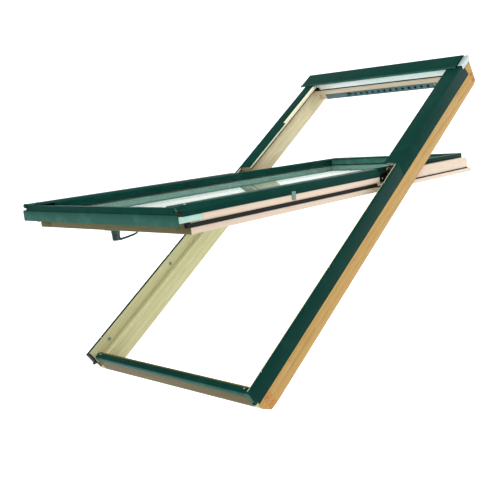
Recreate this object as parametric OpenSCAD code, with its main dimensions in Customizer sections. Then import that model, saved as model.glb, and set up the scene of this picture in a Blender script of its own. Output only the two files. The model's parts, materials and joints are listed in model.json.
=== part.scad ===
// Centre-pivot roof window: pine frame and sash under folded metal covers.
// X runs across the window, Y up the slope and Z outwards from the room.
// The origin is the middle of the frame's lower edge, on the plane of its room side.

/* [Frame] */
// Width over the side covers
frame_w = 660; // [560:10:1140]
// Length up the slope, without the hood's overhang
frame_h = 1400; // [1180:10:1600]
// Depth of the wooden stiles
stile_d = 97; // [96:1:104]
// Thickness of a stile board above the pivot
stile_t = 15; // [13:1:20]
// Width of the stop that the sash shuts against
stop_w = 12; // [10:1:20]
// Height of that stop above the room side
stop_d = 59.5; // [57:0.5:59.5]
// Depth of the rebate that holds the sash's wide half
rebate_w = 4; // [3:0.5:5]
// Width of the bottom rail's front wall
sill_wall = 22; // [18:1:24]
// Width of the bottom rail
sill_w = 45; // [42:1:60]
// Height of the bottom rail's front wall
sill_d = 83; // [74:1:83]
// Height of the bottom rail's floor behind that wall
sill_floor = 29.5; // [24:0.5:30]
// Width of the top rail
head_w = 52; // [50:1:60]
// Height of the top rail
head_d = 64; // [60:1:68]

/* [Covers] */
// Thickness of the folded cover sheet
clad_t = 1; // [0.8:0.1:1.2]
// Height of the covers' front above the room side
clad_front = 99; // [98:0.5:104]
// Height of the side covers' lower edge
clad_foot = 49.5; // [30:0.5:60]
// Distance from the frame's side to the seal line beside the lower half
lower_clad_w = 13; // [8:1:13]
// Width of the covers beside the upper half
upper_clad_w = 51; // [40:1:51]
// Height of the hood's top
hood_top = 108; // [105:1:115]
// Length of the hood up the slope
hood_l = 74; // [66:1:90]

/* [Sash] */
// Angle that the sash stands open
open_angle = 33.65; // [0:0.05:60]
// Distance from the pivot to the frame's upper end
pivot_from_top = 575.4; // [520:0.1:640]
// Height of the pivot above the room side
pivot_z = 89; // [88:0.5:89]
// Free gap between the sash's sides and the stops
side_gap = 2.5; // [2:0.5:5]
// Free gap between the sash's wide half and the lower covers
cover_gap = 7; // [5:0.5:10]
// Height of the sash's room side
sash_back = 31.6; // [31:0.1:34]
// Height of the sash's wood front
sash_wood = 81; // [78:0.5:81]
// Height of the sash covers' front
sash_front = 98; // [96:0.5:98]
// Width of the sash wood that frames the glass
sash_member = 50; // [44:1:60]

/* [Glass] */
// Thickness of one pane
pane_t = 4; // [3:0.5:6]
// Gap between the panes
pane_gap = 16; // [12:1:16]
// Height of the inner pane's room side
pane_seat = 49; // [48:0.5:52]
// Length of the glass edge hidden in the rebate
glass_edge = 14; // [10:1:16]

/* [Hinges] */
// Radius of the pivot pin
pin_r = 5; // [4:0.5:6]
// Radial running gap in the hinge bush
pin_gap = 0.05; // [0.02:0.01:0.1]
// Radius of the hinge bush
bush_r = 8.5; // [7.5:0.5:8.5]

/* [Handle and vent] */
// Length of the handle's arm
arm_l = 52; // [45:1:110]
// Direction of the arm, counted from the sash's width
arm_turn = 45; // [0:5:90]
// Distance between two neighbouring vent holes
vent_pitch = 26; // [20:1:30]
// Number of vent holes
vent_count = 14; // [8:1:14]
// Travel of the vent's shutter
vent_travel = 13; // [8:1:13]

/* [Hidden] */
$fn = 48;

// Small length by which a cutting body runs past a face
past = 1;

// Frame, counted from the middle
clad_x = frame_w / 2;
wood_x = clad_x - clad_t;
board_x = wood_x - stile_t;
rebate_x = board_x + rebate_w;
stop_x = board_x - stop_w;
lower_lip_x = clad_x - lower_clad_w;
upper_lip_x = clad_x - upper_clad_w;
cover_under = clad_front - clad_t;
front_in_x = rebate_x + 4;
fold = 1.4;
fold_in = clad_t + 0.8;
hood_y = frame_h + 2 - hood_l;
hood_x = [-clad_x - 10, clad_x - 14];
pivot_y = frame_h - pivot_from_top;
stop_end_y = pivot_y - 54.6;
cover_split_y = pivot_y + 17.4;
upper_start_y = cover_split_y + 10;
upper_end_y = frame_h - 46;
step_y = pivot_y + 274;
step_in = 14;
leg_end_y = frame_h - 30;
head_in_y = frame_h - head_w;
head_back_y = frame_h - 28;
head_rebate_z = 46;
stop_under = 87;
stop_edge_x = upper_lip_x + 4;
chamfer = [[-past, 30], [0, 30], [18, 3], [40, 0], [40, -past], [-past, -past]];
finger_z = [[4, 21], [29, 46]];
finger_y = [[17, 44], [17, 44]];
head_foot = 10;
head_finger_z = [[13, 26], [34, 44]];
sill_end_x = stop_x + 2;
sill_cover_z = sill_d + 1 + clad_t;
sill_leg_z = sill_d - 13;
plug_z = sill_cover_z + 1.3;
peg_r = 1.6;
peg_y = [140, frame_h - 140];
peg_z = [23, 45];
peg_depth = 11;

// Sash, in the place that it has when shut
sash_x = stop_x - side_gap;
side_x = sash_x - 3.5;
wide_x = lower_lip_x - cover_gap;
wide_wood_x = wide_x - clad_t;
wide_z = stop_d + 1.5;
sash_y0 = 34;
sash_y1 = frame_h - 67;
flange_z = 44;
flange_end_y = frame_h - 42;
wide_y0 = 65;
wide_y1 = pivot_y - 62.6;
member_x = sash_x - sash_member + 0.5;
glass_x = sash_x - 27.5;
rebate_out_x = glass_x + 3;
glass_y0 = 60;
glass_y1 = frame_h - 104;
sight_x = glass_x - glass_edge;
sight_y0 = glass_y0 + glass_edge;
sight_y1 = glass_y1 - glass_edge;
pane_out = pane_seat + pane_t + pane_gap;
glass_front = pane_out + pane_t;
seal_t = 1.5;
seat_z = pane_seat - seal_t;
bead_x = upper_lip_x - 3;
bead_front = sash_front - 1;
front_y = -6;
fascia_y = 1;
fascia_z = sash_front - 17;
slab_z = sash_front - 4;
slab_x = wide_x - 14;
rise_z = sash_front - 11;
cover_y0 = 6;
skirt_z = 54;
top_y = glass_y0 - 2;
side_leg_z = 75;
side_fold_z = 86;
groove_z = [46.5, 56.5];
seal_z = [46.7, 56.3];
upper_seal_z = [44.2, 48];

// Hinges, handle and vent
plate_t = 2.5;
frame_plate_x = rebate_x - plate_t;
ear_t = 3;
ear_r = 9;
washer_t = 1.5;
bush_start_x = side_x + ear_t + washer_t + 0.5;
handle_x = -8;
handle_y = sill_w + 15;
base_t = 4;
vent_x0 = -284;
vent_x1 = 202;
vent_first_x = -146;
vent_z = [12, 34];
grille_y = frame_h - 32;
vent_half = stop_edge_x - 4;
knob_x = -176;
hole_r = 7;

// Colours
pine = [0.86, 0.71, 0.47];
pale_pine = [0.90, 0.80, 0.66];
green = [0.15, 0.30, 0.28];
dark_green = [0.08, 0.20, 0.20];
black = [0.06, 0.07, 0.07];
silver = [0.75, 0.78, 0.80];
clear = [0.70, 0.85, 0.84, 0.5];

// Extrudes an outline drawn in X and Z along Y.
module along_y(y0, y1) {
    translate([0, y1, 0]) rotate([90, 0, 0]) linear_extrude(y1 - y0) children();
}

// Extrudes an outline drawn in Y and Z along X.
module along_x(x0, x1) {
    translate([x0, 0, 0]) rotate([90, 0, 90]) linear_extrude(x1 - x0) children();
}

// Draws a box from its lowest to its highest corner.
module block(low, high) {
    translate(low) cube(high - low);
}

// Puts a right-hand piece on the side that s gives, 1 for right and -1 for left.
module on_side(s) {
    if (s < 0) mirror([1, 0, 0]) children();
    else children();
}

// Turns a piece of the shut sash to its place when it stands open.
module opened() {
    translate([0, pivot_y, pivot_z]) rotate([-open_angle, 0, 0])
        translate([0, -pivot_y, -pivot_z]) children();
}

// Draws a flat ring between two rectangles, from z0 to z1.
module ring(x_out, y_out, x_in, y_in, z0, z1) {
    difference() {
        block([-x_out, y_out[0], z0], [x_out, y_out[1], z1]);
        block([-x_in, y_in[0], z0 - past], [x_in, y_in[1], z1 + past]);
    }
}

// Draws a cylinder along X between two places.
module rod_x(x0, x1, y, z, r) {
    translate([x0, y, z]) rotate([0, 90, 0]) cylinder(h = x1 - x0, r = r);
}

// A stile: the board, the stop below the pivot and the pockets for the rails' fingers.
module frame_stile(s) {
    color(pine) on_side(s) difference() {
        union() {
            block([rebate_x, 0, 0], [wood_x, frame_h, stile_d]);
            block([stop_x, 0, 0], [rebate_x, stop_end_y, stop_d]);
            block([board_x, stop_end_y, 0], [rebate_x, frame_h, stop_d]);
            block([board_x, upper_start_y, stop_d], [rebate_x, frame_h, stile_d]);
        }
        along_x(stop_x - past, wood_x + past) polygon(chamfer);
        for (i = [0, 1])
            block([stop_x - past, finger_y[i][0], finger_z[i][0]],
                  [wood_x + past, finger_y[i][1], finger_z[i][1]]);
        for (i = [0, 1])
            block([board_x - past, head_back_y + 4, head_finger_z[i][0]],
                  [wood_x + past, frame_h - 4, head_finger_z[i][1]]);
        block([rebate_x - past, -past, sill_d], [lower_lip_x + clad_t, sill_wall, clad_front]);
        block([board_x - past, frame_h - 10, -past], [wood_x + past, frame_h + past, 3]);
        for (y = peg_y, z = peg_z) rod_x(wood_x - peg_depth, wood_x + past, y, z, peg_r);
    }
}

// The bottom rail: a front wall, a lower floor behind it and fingers through the stiles.
module frame_bottom_rail() {
    color(pine) {
        difference() {
            union() {
                along_x(-stop_x, stop_x) polygon([
                    [0, 0], [sill_w, 0], [sill_w, sill_floor],
                    [sill_wall, sill_floor], [sill_wall, stop_d], [0, stop_d]
                ]);
                along_x(-sill_end_x, sill_end_x) polygon([
                    [0, stop_d], [sill_wall, stop_d], [sill_wall, sill_d],
                    [4, sill_d], [0, sill_d - 5]
                ]);
                for (s = [-1, 1], i = [0, 1]) on_side(s)
                    block([stop_x, finger_y[i][0], finger_z[i][0]],
                          [wood_x, finger_y[i][1], finger_z[i][1]]);
            }
            along_x(-wood_x - past, wood_x + past) polygon(chamfer);
            block([-24, sill_wall - 3, 38], [24, sill_wall + past, 52]);
        }
    }
}

// The top rail, rebated on its room side for the sash's flange and the vent.
module frame_top_rail() {
    color(pine) {
        along_x(-board_x, board_x) polygon([
            [head_back_y, head_foot], [frame_h, head_foot], [frame_h, head_d],
            [head_in_y, head_d], [head_in_y, head_rebate_z], [head_back_y, head_rebate_z]
        ]);
        for (i = [0, 1])
            block([-wood_x, head_back_y + 4, head_finger_z[i][0]],
                  [wood_x, frame_h - 4, head_finger_z[i][1]]);
    }
}

// The strip above the pivot that the sash shuts up against from inside.
module upper_stop(s) {
    color(pale_pine) on_side(s)
        block([stop_edge_x, upper_start_y, stop_under], [board_x, head_in_y - 4, stile_d]);
}

// The gasket under both upper stops.
module frame_gasket() {
    color(black) for (s = [-1, 1]) on_side(s)
        along_y(upper_start_y + 2, head_in_y - 6) polygon([
            [stop_edge_x + 0.5, stop_under], [stop_edge_x + 8, stop_under],
            [stop_edge_x + 6, sash_wood + 2], [stop_edge_x + 2, sash_wood + 1]
        ]);
}

// A cover beside the sash's lower half: outer leg and a narrow front with a small hem.
module lower_cover(s) {
    color(green) on_side(s) along_y(0, cover_split_y) polygon([
        [clad_x, clad_foot], [clad_x, clad_front - fold], [clad_x - fold, clad_front],
        [front_in_x, clad_front], [front_in_x, stile_d], [front_in_x + clad_t, stile_d],
        [front_in_x + clad_t, cover_under], [clad_x - fold_in, cover_under],
        [wood_x, clad_front - fold_in], [wood_x, clad_foot]
    ]);
}

// The folded sheet of an upper cover; the left one is set back above its step.
module upper_cover_sheet(s) {
    difference() {
        along_y(cover_split_y + 0.5, leg_end_y) polygon([
            [clad_x, clad_foot], [clad_x, clad_front - fold], [clad_x - fold, clad_front],
            [clad_x - 8, clad_front], [clad_x - 9, clad_front + 1],
            [upper_lip_x, clad_front + 1], [upper_lip_x, stile_d - 0.5],
            [upper_lip_x + clad_t, stile_d - 0.5], [upper_lip_x + clad_t, clad_front],
            [clad_x - 9.4, clad_front], [clad_x - 8.4, cover_under],
            [clad_x - fold_in, cover_under], [wood_x, clad_front - fold_in],
            [wood_x, clad_foot]
        ]);
        if (s < 0) block([upper_lip_x - past, step_y, stile_d - 1],
                         [upper_lip_x + step_in, frame_h, clad_front + 2]);
    }
    if (s < 0) along_y(step_y, leg_end_y) polygon([
        [upper_lip_x + step_in - past, stile_d], [upper_lip_x + step_in + clad_t, stile_d],
        [upper_lip_x + step_in + clad_t, clad_front + 1],
        [upper_lip_x + step_in - past, clad_front + 1]
    ]);
}

// A cover beside the sash's upper half, with a step before its outer fold.
module upper_cover(s) {
    color(green) on_side(s) difference() {
        upper_cover_sheet(s);
        along_x(upper_lip_x - past, clad_x + past) polygon([
            [upper_end_y, clad_front + 3], [upper_end_y, stile_d - 2],
            [leg_end_y + past, clad_foot - 3], [leg_end_y + past, clad_front + 3]
        ]);
        block([upper_lip_x - past, 0, stile_d - past],
              [board_x, cover_split_y + 3, clad_front + 2 * past]);
    }
}

// The cover over the bottom rail's front wall.
module bottom_cover() {
    color(green) along_x(-sill_end_x, sill_end_x) polygon([
        [-clad_t, sill_leg_z], [-clad_t, sill_cover_z - 5], [0, sill_cover_z - 2],
        [2.5, sill_cover_z], [sill_wall - 5, sill_cover_z], [sill_wall - 5, sill_d],
        [sill_wall - 6, sill_d], [sill_wall - 6, sill_cover_z - clad_t],
        [3, sill_cover_z - clad_t], [0.9, sill_cover_z - 2.8], [0, sill_cover_z - 5.4],
        [0, sill_leg_z]
    ]);
}

// A moulded cap that closes the corner between a side cover and the bottom rail.
module bottom_end_cap(s) {
    color(black) on_side(s) difference() {
        union() {
            along_y(-7, 0) polygon([
                [clad_x, clad_front], [wide_x + 3, clad_front], [wide_x + 3, wide_z + 16],
                [lower_lip_x + clad_t, wide_z], [lower_lip_x + clad_t, clad_foot + 8],
                [clad_x, clad_foot + 8]
            ]);
            along_y(-3.5, 0) polygon([
                [lower_lip_x + clad_t, wide_z], [lower_lip_x + clad_t, 45],
                [sill_end_x + 2, 45], [sill_end_x + 2, stop_d]
            ]);
            block([clad_x - 9, -11, clad_foot + 8], [clad_x - 2, -7, clad_foot + 14]);
        }
        block([clad_x - 6, -12, clad_foot + 10], [clad_x - 4, -8, clad_foot + 15]);
    }
}

// The hood over the top rail and the ends of the side covers.
module hood() {
    color(green) along_x(hood_x[0], hood_x[1]) polygon([
        [hood_y, 101], [hood_y, hood_top - 3], [hood_y + 2.5, hood_top],
        [frame_h - 3, hood_top], [frame_h + 2, hood_top - 4], [frame_h + 2, 52],
        [frame_h + 1, 52], [frame_h + 1, hood_top - 4.4], [frame_h - 3.4, hood_top - clad_t],
        [hood_y + 3, hood_top - clad_t], [hood_y + 1, hood_top - 3.4], [hood_y + 1, 101]
    ]);
}

// The moulded end under the hood's left edge, with a small nose beside it.
module hood_end_left() {
    color(black) difference() {
        union() {
            block([hood_x[0] + 0.5, hood_y + 3, 101], [-clad_x + 14, frame_h + 0.7, hood_top - 2]);
            block([hood_x[0] - 6, hood_y + 3, 101], [hood_x[0] + 1, hood_y + 12, hood_top - 3]);
            block([hood_x[0] - 6, hood_y - 2, 101], [hood_x[0] - 0.3, hood_y + 12, hood_top - 3]);
        }
        along_x(hood_x[0] - 1, -clad_x + 15) polygon([
            [frame_h - 8, hood_top + past], [frame_h + 2, hood_top + past],
            [frame_h + 2, hood_top - 9]
        ]);
    }
}

// The bare metal bracket at the hood's right end, bent down over the side cover.
module hood_end_right() {
    color(silver) along_y(hood_y + 12, frame_h + 1) polygon([
        [hood_x[1] + 0.5, 101.4], [hood_x[1] + 0.5, 103.4], [clad_x + 3, 103.4],
        [clad_x + 4, 102.4], [clad_x + 4, 88], [clad_x + 2.4, 88], [clad_x + 2.4, 101.4]
    ]);
}

// The extruded vent housing on the top rail.
module vent_profile() {
    color(silver) difference() {
        along_x(-vent_half, vent_half) polygon([
            [head_in_y - 2, head_d + 6], [frame_h - 2, head_d + 6],
            [frame_h - 2, clad_front + 1], [head_in_y - 10, clad_front + 1],
            [head_in_y - 10, sash_wood + 3], [head_in_y - 2, sash_wood + 3]
        ]);
        along_x(-vent_half - past, vent_half + past) polygon([
            [head_in_y - 0.4, head_d + 7.6], [frame_h - 3.6, head_d + 7.6],
            [frame_h - 3.6, clad_front - 0.6], [head_in_y - 8.4, clad_front - 0.6],
            [head_in_y - 8.4, sash_wood + 4.6], [head_in_y - 0.4, sash_wood + 4.6]
        ]);
    }
}

// The black strip between the vent housing and the wood.
module vent_gasket() {
    color(black) block([-board_x + 1, head_in_y + 2, head_d],
                       [board_x - 1, frame_h - 4, head_d + 6]);
}

// One vent hole, a diamond cut through the strip.
module vent_hole(x) {
    translate([x, grille_y - 5, (vent_z[0] + vent_z[1]) / 2])
        rotate([-90, 0, 0]) cylinder(h = 12, r = hole_r, $fn = 4);
}

// The pierced strip on the room side of the top rail.
module vent_grille() {
    color(dark_green) difference() {
        union() {
            block([vent_x0, grille_y, vent_z[0]], [vent_x1, grille_y + 1.5, vent_z[1]]);
            for (z = [vent_z[0], vent_z[1] - 1.5])
                block([vent_x0, grille_y, z], [vent_x1, head_back_y, z + 1.5]);
        }
        for (i = [0 : vent_count - 1]) vent_hole(vent_first_x + i * vent_pitch);
        block([knob_x - 4, grille_y - past, 22], [knob_x + 4 + vent_travel, grille_y + 2, 27]);
    }
}

// The shutter that slides behind the pierced strip, with its knob.
module vent_slider() {
    color(silver) difference() {
        union() {
            block([vent_x0 + 20, grille_y + 1.8, vent_z[0] + 1.8],
                  [vent_x1 - 20, grille_y + 3.4, vent_z[1] - 1.8]);
            block([knob_x - 3, grille_y - 3, 22.5], [knob_x + 3, grille_y + 1.8, 26.5]);
            block([knob_x - 6, grille_y - 7, 19], [knob_x + 6, grille_y - 3, 30]);
        }
        for (i = [0 : vent_count - 2]) vent_hole(vent_first_x + i * vent_pitch);
    }
}

// The frame's half of a hinge: a plate on the stile and the bush for the pin.
module hinge_frame_plate(s) {
    color(black) on_side(s) difference() {
        union() {
            block([frame_plate_x, pivot_y - 49.6, stop_d + 2.5],
                  [rebate_x, cover_split_y, stile_d - 1]);
            rod_x(bush_start_x, frame_plate_x, pivot_y, pivot_z, bush_r);
        }
        rod_x(bush_start_x - past, frame_plate_x - 0.5, pivot_y, pivot_z, pin_r + pin_gap);
    }
}

// Round caps over the screws in the lower rebates.
module screw_caps() {
    color([0.45, 0.58, 0.55]) for (s = [-1, 1], y = [74, 392]) on_side(s)
        rod_x(rebate_x - 1.4, rebate_x, y, 78, 5.5);
}

// Screws that hold the lower covers and the bottom cover.
module cover_screws() {
    color(silver) {
        for (s = [-1, 1], y = [60, pivot_y / 2, pivot_y - 70]) on_side(s)
            translate([clad_x - 6.5, y, clad_front]) cylinder(h = 1.2, r = 2.2);
        for (s = [-1, 1]) translate([s * (sill_end_x - 12), sill_wall / 2 + 2, sill_cover_z])
            cylinder(h = 0.6, r = 2.2);
    }
}

// The plate that the handle's latch catches, let into the bottom rail.
module striker_plate() {
    color(silver) difference() {
        block([-24, sill_wall - 3, 38], [24, sill_wall, 52]);
        for (x = [-17, 17])
            translate([x, sill_wall + past, 45]) rotate([90, 0, 0]) cylinder(h = 6, r = 1.8);
    }
}

// Outline of a sash stile above or below the pivot, in X and Z.
module stile_outline(wide) {
    polygon(wide ? [
        [member_x, sash_back], [sash_x, sash_back], [sash_x, groove_z[0]],
        [side_x + 1, groove_z[0]], [side_x + 1, groove_z[1]], [sash_x, groove_z[1]],
        [sash_x, wide_z],
        [wide_wood_x, wide_z], [wide_wood_x, sash_wood], [rebate_out_x, sash_wood],
        [rebate_out_x, seat_z], [member_x, seat_z]
    ] : [
        [member_x, sash_back], [sash_x, sash_back], [sash_x, flange_z],
        [side_x, flange_z], [side_x, sash_wood], [rebate_out_x, sash_wood],
        [rebate_out_x, seat_z], [member_x, seat_z]
    ]);
}

// A sash stile, wide above the stops in its lower half and narrow in its upper half.
module sash_stile(s) {
    color(pale_pine) opened() on_side(s) difference() {
        union() {
            along_y(sash_y0, wide_y1) stile_outline(true);
            along_y(wide_y1, sash_y1) stile_outline(false);
            block([member_x, sash_y1, sash_back], [sash_x, flange_end_y, flange_z]);
        }
        block([sash_x - 1.5, 0, 58], [wide_x + past, wide_y0, sash_wood + past]);
    }
}

// The sash's bottom rail, between the stiles.
module sash_bottom_rail() {
    color(pale_pine) opened() {
        block([-member_x, sash_y0, sash_back], [member_x, glass_y0 + sash_member - 24, seat_z]);
        block([-rebate_out_x, sash_y0, seat_z], [rebate_out_x, glass_y0 - 2, sash_wood]);
        block([-rebate_out_x, sill_wall + 3, wide_z], [rebate_out_x, sash_y0, sash_wood]);
    }
}

// The sash's top rail, with the flange that closes against the frame from inside.
module sash_top_rail() {
    color(pale_pine) opened() {
        block([-member_x, glass_y1 - sash_member + 24, sash_back],
              [member_x, flange_end_y, flange_z]);
        block([-member_x, glass_y1 - sash_member + 24, flange_z], [member_x, sash_y1, seat_z]);
        block([-rebate_out_x, glass_y1 + 2, seat_z], [rebate_out_x, sash_y1, sash_wood]);
    }
}

// A pane of the sealed unit.
module pane(z) {
    color(clear) opened()
        block([-glass_x, glass_y0, z], [glass_x, glass_y1, z + pane_t]);
}

// The bar that holds the panes apart.
module spacer_bar() {
    color(silver) opened()
        ring(glass_x - 3, [glass_y0 + 3, glass_y1 - 3], glass_x - 12,
             [glass_y0 + 12, glass_y1 - 12], pane_seat + pane_t, pane_out);
}

// Blocks that carry the sealed unit on the bottom rail.
module setting_blocks() {
    color(black) opened() for (s = [-1, 1]) on_side(s)
        block([120, glass_y0 - 2, pane_seat], [190, glass_y0, glass_front]);
}

// The seal under the inner pane.
module inner_glazing_seal() {
    color(black) opened()
        ring(glass_x, [glass_y0, glass_y1], glass_x - 20, [glass_y0 + 20, glass_y1 - 20],
             seat_z, pane_seat);
}

// The seal between the outer pane and the covers.
module outer_glazing_seal() {
    color(black) opened()
        ring(sight_x + 8, [sight_y0 - 12, sight_y1 + 8], sight_x, [sight_y0 - 4, sight_y1],
             glass_front, glass_front + seal_t);
}

// A wide cover on the sash's lower half: side leg, slope, front and a lip down to the glass.
module sash_lower_cover(s) {
    color(green) opened() on_side(s) difference() {
        along_y(cover_y0, wide_y1) polygon([
            [wide_x, side_leg_z], [wide_x, side_fold_z], [wide_x - 8, sash_front - 1],
            [wide_x - 10.5, sash_front], [sight_x + 9, sash_front], [sight_x, sash_front - 5],
            [sight_x, glass_front + seal_t], [sight_x + clad_t, glass_front + seal_t],
            [sight_x + clad_t, sash_front - 5.6], [sight_x + 9.3, sash_front - clad_t],
            [wide_x - 10.8, sash_front - clad_t], [wide_x - 8.8, sash_front - clad_t - 0.9],
            [wide_wood_x, side_fold_z - 0.3], [wide_wood_x, side_leg_z]
        ]);
        block([sight_x - past, 0, glass_front], [sight_x + clad_t + past, glass_y0, slab_z]);
    }
}

// A narrow glazing bead on the sash's upper half.
module sash_upper_bead(s) {
    color(green) opened() on_side(s) difference() {
        along_y(wide_y1, sash_y1) polygon([
            [bead_x, sash_wood], [bead_x, bead_front - 2], [bead_x - 2, bead_front],
            [sight_x + 5, bead_front], [sight_x, bead_front - 4],
            [sight_x, glass_front + seal_t], [sight_x + clad_t, glass_front + seal_t],
            [sight_x + clad_t, bead_front - 4.6], [sight_x + 5.3, bead_front - clad_t],
            [bead_x - 2.4, bead_front - clad_t], [bead_x - clad_t, bead_front - 2.4],
            [bead_x - clad_t, sash_wood]
        ]);
        block([sight_x - past, glass_y1 + 2, glass_front],
              [sight_x + clad_t + past, sash_y1, sash_wood]);
    }
}

// The glazing bead across the sash's upper end.
module sash_top_bead() {
    color(green) opened() along_x(-sight_x, sight_x) polygon([
        [sight_y1, glass_front + seal_t], [sight_y1, bead_front - 4],
        [sight_y1 + 5, bead_front], [sash_y1 - 2, bead_front], [sash_y1, bead_front - 2],
        [sash_y1, sash_wood], [sash_y1 - 1, sash_wood],
        [sash_y1 - 1, bead_front - 2.4], [sash_y1 - 2.4, bead_front - clad_t],
        [sight_y1 + 5.3, bead_front - clad_t], [sight_y1 + clad_t, bead_front - 4.6],
        [sight_y1 + clad_t, glass_front + seal_t]
    ]);
}

// The cover over the sash's bottom rail, with its sloped fascia and hanging skirt.
module sash_bottom_cover() {
    color(green) opened() difference() {
        union() {
            along_x(-wide_x, wide_x) polygon([
                [front_y, skirt_z], [front_y, fascia_z - 1.5], [front_y + 2, fascia_z - 1],
                [front_y + 2, fascia_z], [front_y, fascia_z + 0.5], [fascia_y, slab_z],
                [cover_y0, slab_z], [cover_y0, slab_z - clad_t],
                [fascia_y + 0.7, slab_z - clad_t], [front_y + 1.4, fascia_z + 1],
                [front_y + 3, fascia_z + 0.5], [front_y + 3, fascia_z - 1.5],
                [front_y + 1, fascia_z - 2.2], [front_y + 1, skirt_z]
            ]);
            along_x(-sight_x, sight_x) polygon([
                [cover_y0 - 1, slab_z], [top_y, rise_z], [sight_y0 - 4, rise_z - 3],
                [sight_y0 - 4, glass_front + seal_t], [sight_y0 - 5, glass_front + seal_t],
                [sight_y0 - 5, rise_z - 3.6], [top_y, rise_z - clad_t],
                [cover_y0 - 1, slab_z - clad_t]
            ]);
        }
        for (s = [-1, 1]) on_side(s)
            block([slab_x, front_y - past, fascia_z + 1], [wide_x + past, top_y, sash_front]);
    }
}

// The rounded plug that closes the lower end of a wide cover.
module end_plug(s) {
    color(green) opened() on_side(s) {
        along_y(cover_y0 - 3.5, cover_y0) polygon([
            [slab_x + 0.2, plug_z], [wide_x, plug_z], [wide_x, side_fold_z + 2],
            [wide_x - 8, sash_front - 1], [wide_x - 10.5, sash_front],
            [sight_x + 9, sash_front], [sight_x + 2, slab_z + 0.2], [slab_x + 0.2, slab_z + 0.2]
        ]);
        translate([wide_x - 6.5, cover_y0 - 3, plug_z + 6]) hull() {
            rotate([90, 0, 0]) cylinder(h = 6, r = 6);
            rotate([90, 0, 0]) cylinder(h = 8, r = 3.5);
        }
    }
}

// The moulded filler that closes the bottom cover's end.
module corner_filler(s) {
    color([0.62, 0.78, 0.74]) opened() on_side(s) {
        block([wide_wood_x - 3, front_y + 1, wide_z], [wide_wood_x, wide_y0, side_leg_z]);
        block([sash_x - 1.5, sill_wall + 3, wide_z], [wide_wood_x - 3, wide_y0, side_leg_z]);
    }
}

// The seal in the groove along a sash stile.
module side_seal(s) {
    color(black) opened() on_side(s) {
        block([side_x + 1, sill_wall + 3, seal_z[0]], [sash_x + 1, wide_y1, seal_z[1]]);
        block([side_x - 5, sill_wall + 3, seal_z[0]], [sash_x + 1, sash_y0, wide_z - 0.2]);
        block([side_x, wide_y1, upper_seal_z[0]], [sash_x - 0.5, sash_y1 - 4, upper_seal_z[1]]);
    }
}

// The sash's half of a hinge: a plate, an ear and the pivot pin.
module hinge_sash_plate(s) {
    color(black) opened() on_side(s) {
        block([side_x, pivot_y - 43.6, upper_seal_z[1] + 10],
              [side_x + ear_t, pivot_y + 17.4, pivot_z - 4]);
        rod_x(side_x, side_x + ear_t, pivot_y, pivot_z, ear_r);
        rod_x(side_x + ear_t, frame_plate_x - 1, pivot_y, pivot_z, pin_r);
    }
}

// The friction washer between the two halves of a hinge.
module hinge_washer(s) {
    color(silver) opened() on_side(s) difference() {
        rod_x(side_x + ear_t, side_x + ear_t + washer_t, pivot_y, pivot_z, bush_r);
        rod_x(side_x, bush_start_x, pivot_y, pivot_z, pin_r + pin_gap);
    }
}

// The clip that ties a lower cover to its stile.
module cover_clip(s) {
    color([0.40, 0.50, 0.48]) opened() on_side(s) difference() {
        block([wide_wood_x, 359, wide_z + 2], [wide_wood_x + 2.4, 394, side_leg_z]);
        rod_x(wide_wood_x - past, wide_x + 4, 376.5, 70, 2);
    }
}

// Screws through the bottom cover's ends and the hinge plates.
module sash_screws() {
    color(silver) opened() for (s = [-1, 1]) on_side(s) {
        translate([wide_x - 16, 30, sash_front]) cylinder(h = 1.4, r = 3);
        for (y = [-34, 8]) rod_x(side_x + ear_t, side_x + ear_t + 1.2, pivot_y + y, 68, 3);
    }
}

// The handle's plate and collar under the sash's bottom rail.
module handle_base() {
    color(dark_green) opened() translate([handle_x, handle_y, 0]) difference() {
        union() {
            block([-29, -12, sash_back - base_t], [22, 12, sash_back]);
            translate([0, 0, sash_back - 12]) cylinder(h = 12 - base_t, r = 11);
        }
        for (x = [-22, 17])
            translate([x, 0, sash_back - base_t - past]) cylinder(h = 3, r = 2.2);
    }
}

// The turning lever: hub, thin arm and upturned grip.
module handle_lever() {
    color(dark_green) opened() translate([handle_x, handle_y, 0]) {
        translate([0, 0, 2]) cylinder(h = sash_back - 14.3, r = 10);
        rotate([0, 0, arm_turn]) {
            along_y(-5, 5) polygon([
                [0, 2], [12, 2], [arm_l, 13], [arm_l + 7, 24], [arm_l + 4, 26],
                [arm_l - 3, 17.5], [12, 7], [0, 7]
            ]);
        }
    }
}

frame_stile(-1);  // frame_stile_left
frame_stile(1);  // frame_stile_right
frame_bottom_rail();
frame_top_rail();
upper_stop(-1);  // upper_stop_left
upper_stop(1);  // upper_stop_right
frame_gasket();
lower_cover(-1);  // lower_cover_left
lower_cover(1);  // lower_cover_right
upper_cover(-1);  // upper_cover_left
upper_cover(1);  // upper_cover_right
bottom_cover();
bottom_end_cap(-1);  // bottom_end_cap_left
bottom_end_cap(1);  // bottom_end_cap_right
hood();
hood_end_left();
hood_end_right();
vent_profile();
vent_gasket();
vent_grille();
vent_slider();
hinge_frame_plate(-1);  // hinge_frame_plate_left
hinge_frame_plate(1);  // hinge_frame_plate_right
screw_caps();
cover_screws();
striker_plate();
sash_stile(-1);  // sash_stile_left
sash_stile(1);  // sash_stile_right
sash_bottom_rail();
sash_top_rail();
pane(pane_out);  // outer_pane
pane(pane_seat);  // inner_pane
spacer_bar();
setting_blocks();
inner_glazing_seal();
outer_glazing_seal();
sash_lower_cover(-1);  // sash_lower_cover_left
sash_lower_cover(1);  // sash_lower_cover_right
sash_upper_bead(-1);  // sash_upper_bead_left
sash_upper_bead(1);  // sash_upper_bead_right
sash_top_bead();
sash_bottom_cover();
end_plug(-1);  // end_plug_left
end_plug(1);  // end_plug_right
corner_filler(-1);  // corner_filler_left
corner_filler(1);  // corner_filler_right
side_seal(-1);  // side_seal_left
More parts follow.
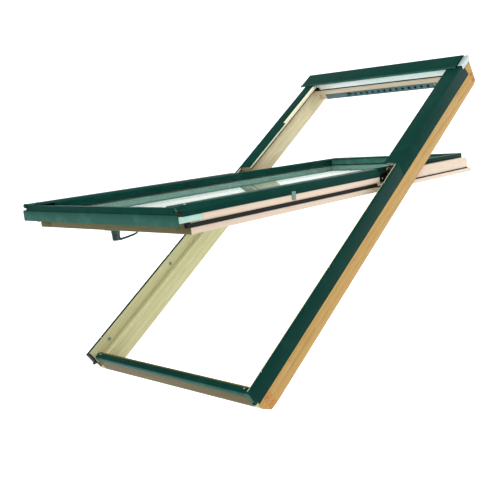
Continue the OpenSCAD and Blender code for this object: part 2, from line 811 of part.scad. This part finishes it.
side_seal(1);  // side_seal_right
hinge_sash_plate(-1);  // hinge_sash_plate_left
hinge_sash_plate(1);  // hinge_sash_plate_right
hinge_washer(-1);  // hinge_washer_left
hinge_washer(1);  // hinge_washer_right
cover_clip(-1);  // cover_clip_left
cover_clip(1);  // cover_clip_right
sash_screws();
handle_base();
handle_lever();
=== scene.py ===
import json
import math

import bpy
from mathutils import Matrix, Vector

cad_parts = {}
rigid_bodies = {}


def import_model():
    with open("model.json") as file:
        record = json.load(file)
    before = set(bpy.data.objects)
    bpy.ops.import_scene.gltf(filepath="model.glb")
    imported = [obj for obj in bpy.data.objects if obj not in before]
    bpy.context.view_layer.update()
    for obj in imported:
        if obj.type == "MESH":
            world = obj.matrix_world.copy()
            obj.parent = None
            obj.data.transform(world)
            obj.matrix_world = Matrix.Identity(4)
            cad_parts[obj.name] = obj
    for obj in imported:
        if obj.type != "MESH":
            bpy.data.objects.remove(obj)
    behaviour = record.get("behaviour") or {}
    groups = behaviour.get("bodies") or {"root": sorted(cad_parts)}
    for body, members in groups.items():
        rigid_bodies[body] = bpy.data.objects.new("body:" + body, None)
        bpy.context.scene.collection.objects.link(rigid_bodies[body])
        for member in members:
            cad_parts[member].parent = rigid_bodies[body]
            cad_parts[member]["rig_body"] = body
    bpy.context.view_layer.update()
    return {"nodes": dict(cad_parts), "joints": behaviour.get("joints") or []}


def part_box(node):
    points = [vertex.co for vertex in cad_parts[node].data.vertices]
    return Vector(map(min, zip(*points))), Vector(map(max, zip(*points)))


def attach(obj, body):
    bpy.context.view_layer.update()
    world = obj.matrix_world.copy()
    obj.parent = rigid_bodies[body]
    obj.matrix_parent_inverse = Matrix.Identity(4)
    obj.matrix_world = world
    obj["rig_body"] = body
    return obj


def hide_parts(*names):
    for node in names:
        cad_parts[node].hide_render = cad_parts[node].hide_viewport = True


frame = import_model()

MM = 0.001

# The sash's pivot and the turn that takes a shut piece to its place when it stands open
pivot_joint = next(j for j in frame["joints"] if j["name"] == "sash_pivot")
PIVOT = Vector(pivot_joint["pos_m"])
OPEN = math.radians(pivot_joint["range_deg"][0])
OPENED = Matrix.Translation(PIVOT) @ Matrix.Rotation(OPEN, 4, "X") @ Matrix.Translation(-PIVOT)
SHUT = OPENED.inverted()

FRAME_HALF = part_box("frame_stile_right")[1].x
FRAME_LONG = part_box("frame_stile_right")[1].y
BOARD = 15 * MM
STOP_EDGE = FRAME_HALF - 28 * MM
STOP_TOP = 59.5 * MM
LINE_HALF = 1.3 * MM
FADE_START = -60 * MM
FADE_END = 140 * MM


def box_of(corners):
    """The lowest and highest corner of some points."""
    return (Vector(min(c[i] for c in corners) for i in range(3)),
            Vector(max(c[i] for c in corners) for i in range(3)))


def shut_box(node):
    """A sash node's box, taken in the shut sash's own directions."""
    return box_of([SHUT @ vertex.co for vertex in frame["nodes"][node].data.vertices])


SASH_FOOT = shut_box("sash_stile_right")[0].y
# The pocket behind the vent's holes, where little light gets
vent_low, vent_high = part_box("vent_slider")
VENT_DEPTH = ((vent_low.x, vent_high.y - 0.6 * MM, vent_low.z - 1 * MM),
              (vent_high.x, FRAME_LONG - 4 * MM, vent_high.z + 1 * MM))
# A turned Object coordinate differs from the shut sash's own one by this much
TURNED_SHIFT = (Matrix.Rotation(-OPEN, 3, "X") @ PIVOT - PIVOT).y


# ---- Finishes ----

class Wire:
    """A shader socket that takes part in arithmetic."""

    def __init__(self, tree, socket):
        self.tree = tree
        self.socket = socket

    def _math(self, operation, first, second):
        node = self.tree.nodes.new("ShaderNodeMath")
        node.operation = operation
        for place, value in enumerate((first, second)):
            if isinstance(value, Wire):
                self.tree.links.new(value.socket, node.inputs[place])
            else:
                node.inputs[place].default_value = value
        return Wire(self.tree, node.outputs[0])

    def __add__(self, other):
        return self._math("ADD", self, other)

    def __radd__(self, other):
        return self._math("ADD", other, self)

    def __sub__(self, other):
        return self._math("SUBTRACT", self, other)

    def __rsub__(self, other):
        return self._math("SUBTRACT", other, self)

    def __mul__(self, other):
        return self._math("MULTIPLY", self, other)

    def __rmul__(self, other):
        return self._math("MULTIPLY", other, self)

    def __pow__(self, other):
        return self._math("POWER", self, other)

    def __gt__(self, other):
        return self._math("GREATER_THAN", self, other)


class Finish:
    """A material, with one method that adds any node."""

    def __init__(self, name, **constants):
        self.material = bpy.data.materials.new(name)
        self.material.use_nodes = True
        self.tree = self.material.node_tree
        self.shader = self.tree.nodes["Principled BSDF"]
        self.place = self.node("ShaderNodeTexCoord", output="Object")
        self.set(**constants)

    def node(self, kind, settings=None, sockets=None, output=0):
        node = self.tree.nodes.new(kind)
        for key, value in (settings or {}).items():
            if key == "stops":
                ramp = node.color_ramp
                ramp.elements[0].position, ramp.elements[1].position = value[0][0], value[-1][0]
                for stop in value[1:-1]:
                    ramp.elements.new(stop[0])
                for element, stop in zip(ramp.elements, value):
                    element.color = stop[1]
            else:
                setattr(node, key, value)
        for key, value in (sockets or {}).items():
            self.feed(node.inputs[key], value)
        return Wire(self.tree, node.outputs[output])

    def feed(self, socket, value):
        if isinstance(value, Wire):
            self.tree.links.new(value.socket, socket)
        else:
            socket.default_value = value

    def set(self, **sockets):
        for name, value in sockets.items():
            title = name.replace("_", " ").title().replace("Ior", "IOR")
            self.feed(self.shader.inputs[title], value)

    def along(self, axis, vector=None):
        """One part of a coordinate."""
        return self.node("ShaderNodeSeparateXYZ", None, {0: vector or self.place}, output=axis)

    def absolute(self, value):
        return self.node("ShaderNodeMath", {"operation": "ABSOLUTE"}, {0: value})

    def mapped(self, scale=(1, 1, 1), turn=(0, 0, 0), shift=(0, 0, 0), vector=None):
        return self.node("ShaderNodeMapping", None, {
            "Vector": vector or self.place, "Scale": scale, "Rotation": turn, "Location": shift})

    def noise(self, scale, detail=3.0, roughness=0.55, vector=None):
        return self.node("ShaderNodeTexNoise", None, {
            "Vector": vector or self.place, "Scale": scale, "Detail": detail,
            "Roughness": roughness})

    def mix(self, factor, first, second, blend="MIX"):
        return self.node("ShaderNodeMix", {"data_type": "RGBA", "blend_type": blend}, {
            0: factor, 6: first, 7: second}, output=2)

    def ramp(self, value, low, high):
        return self.node("ShaderNodeMapRange", {"interpolation_type": "SMOOTHSTEP"}, {
            "Value": value, "From Min": low, "From Max": high})

    def bump(self, height, distance, strength=1.0):
        self.set(normal=self.node("ShaderNodeBump", None, {
            "Height": height, "Distance": distance, "Strength": strength}))


def srgb(red, green, blue):
    """A colour for a shader from its 0 to 255 values."""
    def straight(value):
        value /= 255
        return value / 12.92 if value < 0.04045 else ((value + 0.055) / 1.055) ** 2.4
    return (straight(red), straight(green), straight(blue), 1)


def pine(name, light, dark, along, opened=False, outer=None, end_grain=None, shaded_foot=None,
         layered=None, lit_upper=None, behind=None):
    """Pine with rings drawn out along the board and fine pores, its tones set by place, some of
    them painted shade and painted highlights.
    """
    finish = Finish(name, roughness=0.5, specular_ior_level=0.08)
    straight = finish.mapped(turn=(-OPEN, 0, 0)) if opened else finish.place
    long = (0.035, 1, 1) if along == "X" else (1, 0.035, 1)
    drawn = finish.mapped(scale=long, shift=(0.013, 0.007, 0.021), vector=straight)
    waver = finish.noise(9, 2, vector=finish.mapped(scale=(1, 1, 1), vector=drawn))
    rings = finish.node("ShaderNodeTexWave", {
        "wave_type": "RINGS", "rings_direction": "SPHERICAL", "wave_profile": "SAW"}, {
        "Vector": drawn, "Scale": 105, "Distortion": 4.0, "Detail": 3.0, "Detail Scale": 1.2,
        "Phase Offset": 3.0})
    pores = finish.noise(640, 3, 0.6, vector=drawn)
    cloud = finish.noise(14, 2, vector=drawn)
    tone = finish.ramp(rings * 0.32 + waver * 0.5 + (pores - 0.5) * 1.1, 0.1, 1.1)
    colour = finish.mix(tone, light, dark)
    colour = finish.mix(finish.ramp(cloud, 0.35, 0.75) * 0.35, colour,
                        tuple(0.72 * value for value in light[:3]) + (1,))
    if outer or end_grain:
        side = finish.absolute(finish.along("X"))
    if lit_upper:
        # Painted light and shade: above the pivot the stile takes paler lit tones; below it keeps
        # the darker olive tones of the shade under the open sash
        run = finish.along("Y")
        pale = finish.mix(tone, lit_upper[0], lit_upper[1])
        upward = finish.ramp(run, PIVOT.y + FADE_START, PIVOT.y + FADE_END)
        colour = finish.mix(upward, colour, pale)
        # Painted shade: below the pivot and inside the stop the wood is tinted olive, the shade
        # under the open sash with light through its green glass
        height = finish.along("Z")
        half = finish.absolute(finish.along("X"))
        painted_shade = (1 - (half > STOP_EDGE)) * (1 - finish.ramp(run, PIVOT.y + FADE_START, PIVOT.y))
        colour = finish.mix(painted_shade * 0.55, colour, srgb(122, 142, 104))
        # The arris of the stop catches the light: a painted highlight line
        line = ((half > STOP_EDGE - LINE_HALF) * (1 - (half > STOP_EDGE + LINE_HALF))
                * (height > STOP_TOP - 1.5 * MM) * (1 - (run > PIVOT.y)))
        colour = finish.mix(line * 0.8, colour, srgb(240, 236, 196))
    # Painted shade: wood inside the given box, the pocket behind the vent's holes, is painted near
    # black
    if behind:
        inside = 1
        for axis, low, high in zip("XYZ", *behind):
            place = finish.along(axis)
            inside = inside * ((place > low) * (1 - (place > high)))
        colour = finish.mix(inside * 0.96, colour, srgb(20, 30, 30))
    # Painted shade: the stiles' ends at the sash's foot take the darker olive tones of the shaded
    # underside
    if shaded_foot:
        along_sash = finish.along("Y", straight)
        low = 1 - finish.ramp(along_sash, SASH_FOOT + TURNED_SHIFT + 1.2 * MM,
                              SASH_FOOT + TURNED_SHIFT + 2 * MM)
        colour = finish.mix(low, colour, finish.mix(tone, shaded_foot[0], shaded_foot[1]))
    if outer:
        gold = finish.mix(tone, outer[0], outer[1])
        colour = finish.mix(side > FRAME_HALF - 0.4 * BOARD, colour, gold)
    if layered:
        height = finish.along("Z")
        under = 1 - finish.ramp(height, layered - 0.5 * MM, layered + 0.5 * MM)
        joint = under - (1 - finish.ramp(height, layered - 4 * MM, layered - 3 * MM))
        colour = finish.mix(under * 0.4 + joint * 0.45, colour, srgb(52, 44, 24))
    if end_grain:
        ends = finish.mix(finish.ramp(finish.noise(300, 2), 0.35, 0.7), end_grain[0], end_grain[1])
        colour = finish.mix(side > FRAME_HALF - BOARD - 0.5 * MM, colour, ends)
    finish.set(base_color=colour, roughness=0.42 + tone * 0.16)
    finish.bump(tone * -0.4 + pores * 0.5, 0.25 * MM, 0.5)
    return finish.material


def paint(name, colour, worn, roughness=0.38, level=0.3, painted_sheen=None):
    """Baked paint on folded sheet: fine ripple, faint dust, worn spots, and a painted sheen on
    faces turned down the roof.
    """
    finish = Finish(name, specular_ior_level=level)
    dust = finish.ramp(finish.noise(22, 4, 0.6), 0.45, 0.8)
    streak = finish.noise(60, 3, 0.6, vector=finish.mapped(scale=(1, 0.08, 1)))
    speck = finish.ramp(finish.noise(900, 2), 0.62, 0.75)
    colour = finish.mix(dust * 0.18 + (streak - 0.4) * 0.2 + speck * 0.08, colour, worn)
    if painted_sheen:
        # Painted sheen: faces turned down the roof are lightened as if catching the bright light,
        # more so where dust is
        facing = finish.node("ShaderNodeNewGeometry", output="Normal")
        down_roof = finish.along("Y", facing)
        front = finish.ramp(0 - down_roof, 0.55, 0.95)
        colour = finish.mix(front * (0.55 + dust * 0.3), colour, painted_sheen)
    finish.set(base_color=colour, roughness=roughness + dust * 0.12 + (streak - 0.5) * 0.1)
    finish.bump(finish.noise(1500, 2), 0.03 * MM, 0.5)
    return finish.material


def metal(name, colour, dark, roughness, brushed="X", amount=0.35, metallic=1.0):
    """Brushed or plated metal with drawn lines and faint stains."""
    finish = Finish(name, metallic=metallic)
    fine = (0.02, 1, 1) if brushed == "X" else (1, 0.02, 1)
    lines = finish.noise(1400, 3, 0.7, vector=finish.mapped(scale=fine))
    stain = finish.ramp(finish.noise(35, 4, 0.6), 0.4, 0.8)
    colour = finish.mix(stain * amount + (lines - 0.5) * amount, colour, dark)
    finish.set(base_color=colour, roughness=roughness + (lines - 0.5) * 0.2 + stain * 0.1)
    finish.bump(lines, 0.02 * MM, 0.5)
    return finish.material


def moulding(name, colour, worn, roughness=0.45, level=0.4, pitted=0.03):
    """Moulded plastic or rubber: a fine eroded grain and rubbed places."""
    finish = Finish(name, specular_ior_level=level)
    rubbed = finish.ramp(finish.noise(40, 4, 0.6), 0.45, 0.8)
    grain = finish.noise(1800, 2)
    colour = finish.mix(rubbed * 0.5 + (grain - 0.5) * 0.15, colour, worn)
    finish.set(base_color=colour, roughness=roughness + rubbed * 0.15)
    finish.bump(grain, pitted * MM, 0.6)
    return finish.material


def clear_glass(name, tint):
    """Float glass: clear through, and a mirror at low angles."""
    finish = Finish(name, roughness=0.02, metallic=1.0)
    smear = finish.ramp(finish.noise(9, 3), 0.5, 0.9)
    finish.set(base_color=finish.mix(smear * 0.2, srgb(236, 244, 242), srgb(214, 226, 224)))
    edge_on = finish.node("ShaderNodeLayerWeight", None, {"Blend": 0.5}, output="Facing")
    gloss = 0.03 + 0.58 * edge_on ** 5
    through = finish.node("ShaderNodeBsdfTransparent", None, {"Color": tint})
    both = finish.node("ShaderNodeMixShader", None, {
        0: gloss, 1: through, 2: Wire(finish.tree, finish.shader.outputs[0])})
    finish.tree.links.new(both.socket, finish.tree.nodes["Material Output"].inputs[0])
    return finish.material


FINISH = {
    # The stiles' olive tones are painted shade below the pivot; the paler pair above it is the lit
    # copy (painted light)
    "frame_wood": pine("frame pine along the stiles", srgb(208, 202, 160), srgb(180, 168, 118),
                       "Y", outer=(srgb(190, 156, 96), srgb(156, 116, 58)),
                       lit_upper=(srgb(224, 210, 176), srgb(198, 178, 140))),
    "rail_wood": pine("frame pine along the rails", srgb(106, 92, 44), srgb(68, 54, 22),
                      "X", end_grain=(srgb(204, 142, 78), srgb(150, 92, 42)),
                      layered=22 * MM),
    "stop_wood": pine("lacquered stop strip", srgb(240, 232, 205), srgb(214, 200, 160), "Y"),
    "sash_wood": pine("sash pine along the stiles", srgb(226, 208, 190), srgb(200, 174, 150),
                      "Y", opened=True, shaded_foot=(srgb(128, 122, 86), srgb(90, 84, 54))),
    "sash_rail_wood": pine("sash pine along the rails", srgb(226, 208, 190),
                           srgb(200, 174, 150), "X", opened=True),
    # The sash's lower rail gets darker olive tones as painted shade of its underside
    "sash_foot_wood": pine("shadowed pine of the sash's lower rail", srgb(136, 130, 94),
                           srgb(98, 92, 60), "X", opened=True),
    # The top rail: pale pine, with painted shade in the pocket behind the vent
    "head_wood": pine("pale pine of the top rail", srgb(232, 212, 190), srgb(206, 180, 154), "X",
                      end_grain=(srgb(196, 130, 76), srgb(140, 78, 42)), behind=VENT_DEPTH),
    # The lighter green is a painted sheen on faces turned down the roof
    "cover_metal": paint("green baked paint", srgb(10, 52, 45), srgb(34, 82, 73), 0.36, 0.015,
                         painted_sheen=srgb(74, 124, 112)),
    "seal_rubber": moulding("black rubber", srgb(10, 16, 14), srgb(30, 40, 36), 0.6, 0.2, 0.05),
    "cap_plastic": moulding("black moulded plastic", srgb(10, 18, 20), srgb(34, 46, 46)),
    "bracket_metal": metal("bare bracket metal", srgb(186, 204, 208), srgb(140, 160, 166), 0.4,
                          metallic=0.6),
    "vent_metal": metal("anodised vent metal", srgb(236, 240, 244), srgb(206, 212, 216), 0.45,
                        amount=0.2, metallic=0.35),
    "grille_metal": paint("teal baked paint", srgb(78, 112, 122), srgb(128, 156, 162)),
    "hinge_metal": metal("blackened steel", srgb(44, 48, 50), srgb(20, 22, 24), 0.4),
    "washer_metal": metal("washer brass", srgb(206, 178, 116), srgb(150, 122, 70), 0.35),
    "screw_metal": metal("zinc plated steel", srgb(214, 220, 222), srgb(150, 158, 160), 0.3),
    "clip_plastic": moulding("grey green plastic", srgb(96, 126, 120), srgb(140, 164, 158)),
    "filler_plastic": moulding("mint plastic", srgb(164, 202, 188), srgb(196, 222, 212)),
    "vent_shutter": moulding("grey shutter plastic", srgb(52, 62, 66), srgb(92, 104, 108)),
    "glass_clear": clear_glass("float glass", srgb(247, 253, 251)),
    "spacer_metal": metal("spacer metal", srgb(190, 222, 214), srgb(160, 196, 186), 0.45,
                          metallic=0.3),
    "handle_metal": paint("dark green handle paint", srgb(28, 64, 62), srgb(70, 104, 100), 0.3,
                          0.5),
}


# ---- Pieces from the frame, with their edges eased ----

OWN_FINISH = {
    "frame_bottom_rail": "rail_wood", "frame_top_rail": "head_wood",
    "sash_bottom_rail": "sash_foot_wood", "sash_top_rail": "sash_rail_wood",
    "bottom_end_cap_right": "cover_metal", "end_plug_left": "cover_metal",
    "end_plug_right": "cover_metal", "vent_slider": "vent_shutter",
}


def start(piece):
    """Selects one piece alone and makes it active."""
    bpy.ops.object.select_all(action="DESELECT")
    piece.select_set(True)
    bpy.context.view_layer.objects.active = piece


def apply(piece, kind, **settings):
    """Adds a modifier with its settings and applies it."""
    start(piece)
    modifier = piece.modifiers.new(kind.title(), kind)
    for key, value in settings.items():
        setattr(modifier, key, value)
    bpy.ops.object.modifier_apply(modifier=modifier.name)


def smooth(piece, degrees=40):
    start(piece)
    bpy.ops.object.shade_smooth_by_angle(angle=math.radians(degrees))


def finish_piece(piece, node, slot, finish=None):
    """Gives a piece its finish, chosen by its slot unless another is named, and the body that it
    moves with.
    """
    piece.data.materials.clear()
    piece.data.materials.append(FINISH[finish or slot])
    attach(piece, frame["nodes"][node]["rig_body"])


def eased(node, width, segments=2):
    """A copy of a node with its corners rounded."""
    original = frame["nodes"][node]
    slot = original.data.materials[0].name
    piece = bpy.data.objects.new(node + "_eased", original.data.copy())
    bpy.context.scene.collection.objects.link(piece)
    start(piece)
    bpy.ops.object.mode_set(mode="EDIT")
    bpy.ops.mesh.select_all(action="SELECT")
    bpy.ops.mesh.remove_doubles(threshold=0.00001)
    bpy.ops.mesh.dissolve_limited(angle_limit=math.radians(0.5))
    bpy.ops.object.mode_set(mode="OBJECT")
    apply(piece, "BEVEL", width=width * MM, segments=segments, limit_method="ANGLE",
          angle_limit=math.radians(35), harden_normals=False)
    smooth(piece)
    finish_piece(piece, node, slot, OWN_FINISH.get(node))
    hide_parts(node)
    return piece


def made(master, name, matrix):
    """A copy of a piece with a mesh of its own, turned and moved to its place."""
    piece = bpy.data.objects.new(name, master.data.copy())
    bpy.context.scene.collection.objects.link(piece)
    piece.matrix_world = matrix
    start(piece)
    bpy.ops.object.transform_apply(location=True, rotation=True, scale=True)
    return piece


def joined(pieces, name):
    """Several pieces made one."""
    bpy.ops.object.select_all(action="DESELECT")
    for piece in pieces:
        piece.select_set(True)
    bpy.context.view_layer.objects.active = pieces[0]
    bpy.ops.object.join()
    pieces[0].name = name
    return pieces[0]


def cut(piece, tool, operation="DIFFERENCE"):
    """Cuts one piece with another, or joins them, and removes the tool."""
    apply(piece, "BOOLEAN", object=tool, operation=operation, solver="EXACT")
    bpy.data.objects.remove(tool)


def screw_head(radius, height):
    """A domed screw head with a cross recess, standing on z = 0."""
    bpy.ops.object.select_all(action="DESELECT")
    bpy.ops.mesh.primitive_cylinder_add(vertices=40, radius=radius, depth=height,
                                        location=(0, 0, height / 2))
    head = bpy.context.object
    bpy.ops.object.transform_apply(location=True)
    apply(head, "BEVEL", width=height * 0.45, segments=3, limit_method="ANGLE",
          angle_limit=math.radians(60))
    for size in ((1.25, 0.26), (0.26, 1.25)):
        bpy.ops.object.select_all(action="DESELECT")
        bpy.ops.mesh.primitive_cube_add(size=1, location=(0, 0, height))
        bar = bpy.context.object
        bar.scale = (size[0] * radius, size[1] * radius, height * 0.9)
        bpy.ops.object.transform_apply(location=True, scale=True)
        cut(head, bar)
    return head


def islands(node, into):
    """The boxes of a node's separate solids, in the directions that a matrix gives."""
    piece = bpy.data.objects.new("solids", frame["nodes"][node].data.copy())
    bpy.context.scene.collection.objects.link(piece)
    start(piece)
    bpy.ops.object.mode_set(mode="EDIT")
    bpy.ops.mesh.select_all(action="SELECT")
    bpy.ops.mesh.remove_doubles(threshold=0.00001)
    bpy.ops.mesh.separate(type="LOOSE")
    bpy.ops.object.mode_set(mode="OBJECT")
    boxes = []
    for solid in list(bpy.context.selected_objects):
        boxes.append(box_of([into @ vertex.co for vertex in solid.data.vertices]))
        bpy.data.objects.remove(solid)
    return sorted(boxes, key=lambda box: tuple(round(v, 4) for v in box[0]))


def screws(node, into, back):
    """Modelled screw heads in place of a node's plain ones."""
    slot = frame["nodes"][node].data.materials[0].name
    heads = []
    for count, (low, high) in enumerate(islands(node, into)):
        size, middle = high - low, (low + high) / 2
        if size.z < size.x:
            seat = Matrix.Translation((middle.x, middle.y, low.z))
            height, radius = size.z, size.x / 2
        else:
            side = 1 if middle.x > 0 else -1
            inner = low.x if side > 0 else high.x
            seat = (Matrix.Translation((inner, middle.y, middle.z))
                    @ Matrix.Rotation(side * math.pi / 2, 4, "Y"))
            height, radius = size.x, size.z / 2
        master = screw_head(radius, height)
        turned = Matrix.Rotation(0.35 + 1.1 * count, 4, "Z")
        heads.append(made(master, "head", back @ seat @ turned))
        bpy.data.objects.remove(master)
    piece = joined(heads, node + "_heads")
    smooth(piece, 35)
    finish_piece(piece, node, slot)
    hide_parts(node)


HUB_RADIUS = 10 * MM
# The arm's first block, and then its steps outward and up in mm and how much each narrows
ARM_START = (12 * MM, 10 * MM, 5 * MM)
ARM_STEPS = ((14, 3.2, 0.96), (14, 3.8, 0.95), (10, 3.6, 0.94), (5, 4.4, 0.94), (3, 4.6, 0.9))


def lever():
    """The turning lever: a round hub and a tapered arm whose tip turns up."""
    node = "handle_lever"
    slot = frame["nodes"][node].data.materials[0].name
    low, high = shut_box(node)
    turn_joint = next(j for j in frame["joints"] if j["name"] == "handle_turn")
    axle = SHUT @ Vector(turn_joint["pos_m"])
    bpy.ops.object.select_all(action="DESELECT")
    bpy.ops.mesh.primitive_cylinder_add(vertices=64, radius=HUB_RADIUS, depth=high.z - low.z,
                                        location=(0, 0, (low.z + high.z) / 2))
    hub = bpy.context.object
    bpy.ops.object.transform_apply(location=True)
    apply(hub, "BEVEL", width=1.6 * MM, segments=4, limit_method="ANGLE",
          angle_limit=math.radians(60))
    bpy.ops.object.select_all(action="DESELECT")
    bpy.ops.mesh.primitive_cube_add(
        size=1, location=(ARM_START[0] / 2, 0, low.z + ARM_START[2] / 2))
    arm = bpy.context.object
    arm.scale = ARM_START
    bpy.ops.object.transform_apply(location=True, scale=True)
    bpy.ops.object.mode_set(mode="EDIT")
    bpy.ops.mesh.select_mode(type="FACE")
    bpy.ops.mesh.select_all(action="DESELECT")
    bpy.ops.object.mode_set(mode="OBJECT")
    for face in arm.data.polygons:
        face.select = face.normal.x > 0.9
    bpy.ops.object.mode_set(mode="EDIT")
    for run, rise, narrower in ARM_STEPS:
        bpy.ops.mesh.extrude_region_move(
            TRANSFORM_OT_translate={"value": (run * MM, 0, rise * MM)})
        bpy.ops.transform.resize(value=(1, narrower, 0.97))
    bpy.ops.object.mode_set(mode="OBJECT")
    apply(arm, "BEVEL", width=1.5 * MM, segments=3, limit_method="ANGLE",
          angle_limit=math.radians(50))
    cut(hub, arm, "UNION")
    corner = max((SHUT @ v.co for v in frame["nodes"][node].data.vertices),
                 key=lambda c: (c - axle).xy.length)
    towards = math.atan2(corner.y - axle.y, corner.x - axle.x)
    towards = math.radians(5 * round(math.degrees(towards) / 5))
    piece = made(hub, "handle_lever_cast", OPENED @ Matrix.Translation((axle.x, axle.y, 0))
                 @ Matrix.Rotation(towards, 4, "Z"))
    bpy.data.objects.remove(hub)
    smooth(piece, 35)
    finish_piece(piece, node, slot)
    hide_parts(node)


def clip(node, cover):
    """The clip that holds a lower cover: a narrow tongue up over the cover's side."""
    slot = frame["nodes"][node].data.materials[0].name
    low, high = shut_box(node)
    side = 1 if high.x > 0 else -1
    outer = shut_box(cover)[1 if side > 0 else 0].x + side * 0.7 * MM
    inner = low.x if side > 0 else high.x
    middle = (low.y + high.y) / 2
    bpy.ops.object.select_all(action="DESELECT")
    bpy.ops.mesh.primitive_cube_add(size=1, location=((inner + outer) / 2, middle - 3 * MM,
                                                      (low.z + high.z) / 2 + 3 * MM))
    master = bpy.context.object
    master.scale = (abs(outer - inner), 15 * MM, high.z - low.z + 10 * MM)
    bpy.ops.object.transform_apply(location=True, scale=True)
    apply(master, "BEVEL", width=0.6 * MM, segments=3, limit_method="ANGLE",
          angle_limit=math.radians(60))
    piece = made(master, node + "_tongue", OPENED)
    bpy.data.objects.remove(master)
    smooth(piece, 35)
    finish_piece(piece, node, slot)
    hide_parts(node)


EASED = {
    "frame_stile_left": 1.2, "frame_stile_right": 1.2, "frame_bottom_rail": 1.0,
    "frame_top_rail": 1.0, "upper_stop_left": 1.0, "upper_stop_right": 1.0,
    "lower_cover_left": 0.3, "lower_cover_right": 0.3, "upper_cover_left": 0.3,
    "upper_cover_right": 0.3, "bottom_cover": 0.3, "hood": 0.3,
    "bottom_end_cap_left": 1.0, "bottom_end_cap_right": 1.0, "hood_end_left": 1.5,
    "hood_end_right": 0.8, "vent_profile": 1.2, "vent_slider": 0.5,
    "hinge_frame_plate_left": 0.6, "hinge_frame_plate_right": 0.6, "screw_caps": 0.6,
    "striker_plate": 0.4, "sash_stile_left": 1.0,
    "sash_stile_right": 1.0, "sash_bottom_rail": 1.0, "sash_top_rail": 1.0,
    "sash_lower_cover_left": 0.3, "sash_lower_cover_right": 0.3,
    "sash_upper_bead_left": 0.3, "sash_upper_bead_right": 0.3, "sash_top_bead": 0.3,
    "sash_bottom_cover": 0.3, "end_plug_left": 0.5, "end_plug_right": 0.5,
    "corner_filler_left": 1.0, "corner_filler_right": 1.0,
    "hinge_sash_plate_left": 0.5, "hinge_sash_plate_right": 0.5, "handle_base": 1.5,
}
for name, width in EASED.items():
    eased(name, width)
screws("cover_screws", Matrix.Identity(4), Matrix.Identity(4))
screws("sash_screws", SHUT, OPENED)
lever()
clip("cover_clip_left", "sash_lower_cover_left")
clip("cover_clip_right", "sash_lower_cover_right")
MODELLED = ("cover_screws", "sash_screws", "handle_lever", "cover_clip_left",
            "cover_clip_right")

# Nodes whose shape is right get a finish alone
for name, node in frame["nodes"].items():
    if name not in EASED and name not in MODELLED:
        slot = node.data.materials[0].name
        for place in node.material_slots:
            place.material = FINISH[slot]


# ---- Floor, light and camera ----

bpy.ops.object.select_all(action="DESELECT")
bpy.ops.mesh.primitive_plane_add(size=200, location=(0, 0.7, -0.9))
floor = bpy.context.object
floor.name = "studio_floor"
paper = Finish("studio paper", roughness=0.9, specular_ior_level=0.0, emission_strength=0.6)
paper.set(base_color=srgb(246, 246, 246), emission_color=srgb(255, 255, 255))
floor.data.materials.append(paper.material)

world = bpy.data.worlds.new("studio")
bpy.context.scene.world = world
world.use_nodes = True
world.node_tree.nodes["Background"].inputs["Color"].default_value = (1, 1, 1, 1)
world.node_tree.nodes["Background"].inputs["Strength"].default_value = 0.58


def softbox(name, place, target, size, power):
    """A square light that faces a point."""
    lamp = bpy.data.lights.new(name, "AREA")
    lamp.size = size
    lamp.energy = power
    light = bpy.data.objects.new(name, lamp)
    bpy.context.scene.collection.objects.link(light)
    light.location = place
    light.rotation_euler = (Vector(target) - Vector(place)).to_track_quat("-Z", "Y").to_euler()


softbox("softbox_top", (0.2, 0.6, 4.2), (0, 0.7, 0), 3.2, 135)
softbox("softbox_edge", (2.3, 2.7, 2.6), (0.2, 0.7, 0.1), 0.9, 40)

CAMERA_PLACE = (1.4832, -0.6008, 1.2359)
CAMERA_RIGHT = Vector((0.7686, 0.4827, -0.4199))
CAMERA_DOWN = Vector((0.0695, -0.7154, -0.6952))
CAMERA_AHEAD = CAMERA_RIGHT.cross(CAMERA_DOWN)

lens = bpy.data.cameras.new("camera")
lens.sensor_width = 36
lens.lens = 52.05
lens.shift_x = -0.1013
lens.shift_y = 0.0457
lens.clip_end = 100
camera = bpy.data.objects.new("camera", lens)
bpy.context.scene.collection.objects.link(camera)
axes = Matrix((CAMERA_RIGHT, -CAMERA_DOWN, -CAMERA_AHEAD)).transposed()
camera.matrix_world = Matrix.Translation(CAMERA_PLACE) @ axes.to_4x4()
bpy.context.scene.camera = camera
bpy.context.scene.view_settings.view_transform = "Standard"
